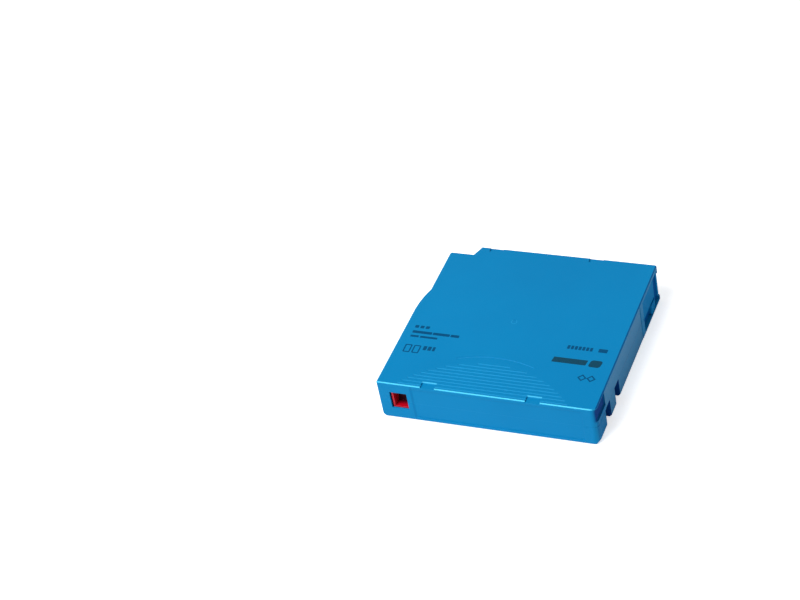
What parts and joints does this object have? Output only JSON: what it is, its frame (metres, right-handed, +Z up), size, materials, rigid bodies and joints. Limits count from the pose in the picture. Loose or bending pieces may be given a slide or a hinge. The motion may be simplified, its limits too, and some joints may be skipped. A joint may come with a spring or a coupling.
{
  "type": "data tape cartridge",
  "caption": "Flat square moulded case with a cut-back corner, a sliding side door, a red write-protect slider and one reel of half-inch data tape inside.",
  "frame": {"origin": "middle of the case's outline, on the surface that the cartridge lies on", "axes": "+X along the label face towards the door side, +Y from the label face to the face that enters a drive, +Z up to the printed face"},
  "size_m": [0.1054, 0.102, 0.0215],
  "materials": {
    "case_blue": "moulded polycarbonate, fine satin texture",
    "door_blue": "moulded plastic, satin",
    "slider_red": "moulded red acetal, satin",
    "reel_white": "natural polycarbonate, satin",
    "brake_white": "acetal, satin",
    "tape_film": "coated film, wound smooth",
    "steel": "plain bright steel",
    "spring_steel": "drawn spring wire and strip",
    "screw_steel": "zinc-plated screws",
    "clip_black": "moulded acetal",
    "board_green": "glass-fibre board with solder mask",
    "chip_black": "potting resin"
  },
  "bodies": {
    "case": {"lower_shell": "case_blue", "upper_shell": "case_blue", "case_screws": "screw_steel", "leader_pin": "steel", "leader_clip": "clip_black", "pin_retainer": "spring_steel", "tape_leader": "tape_film", "memory_board": "board_green", "memory_chip": "chip_black", "brake_spring": "spring_steel", "door_spring": "spring_steel"},
    "reel": {"reel_hub": "reel_white", "upper_flange": "reel_white", "reel_plate": "steel", "tape_pack": "tape_film"},
    "brake": {"brake_button": "brake_white"},
    "pad": {"release_pad": "brake_white"},
    "door": {"door": "door_blue"},
    "slider": {"write_protect_slider": "slider_red"}
  },
  "joints": [
    {"name": "reel_spin", "type": "hinge", "parent": "case", "child": "reel", "pos_m": [-0.0021, 0, 0], "axis": [0, 0, 1], "continuous": true},
    {"name": "brake_lift", "type": "slide", "parent": "case", "child": "brake", "axis": [0, 0, 1], "range_m": [0, 0.0016], "stiffness_N_per_m": 600, "springref_m": -0.008, "deforming": ["brake_spring"]},
    {"name": "pad_lift", "type": "slide", "parent": "reel", "child": "pad", "axis": [0, 0, 1], "range_m": [0, 0.0016]},
    {"name": "door_slide", "type": "slide", "parent": "case", "child": "door", "axis": [0, -1, 0], "range_m": [0, 0.012], "stiffness_N_per_m": 25, "springref_m": -0.02, "deforming": ["door_spring"]},
    {"name": "write_protect_slide", "type": "slide", "parent": "case", "child": "slider", "axis": [-1, 0, 0], "range_m": [0, 0.0045]}
  ],
  "couplings": [
    {"joint": "pad_lift", "follows": "brake_lift", "ratio": 1}
  ]
}
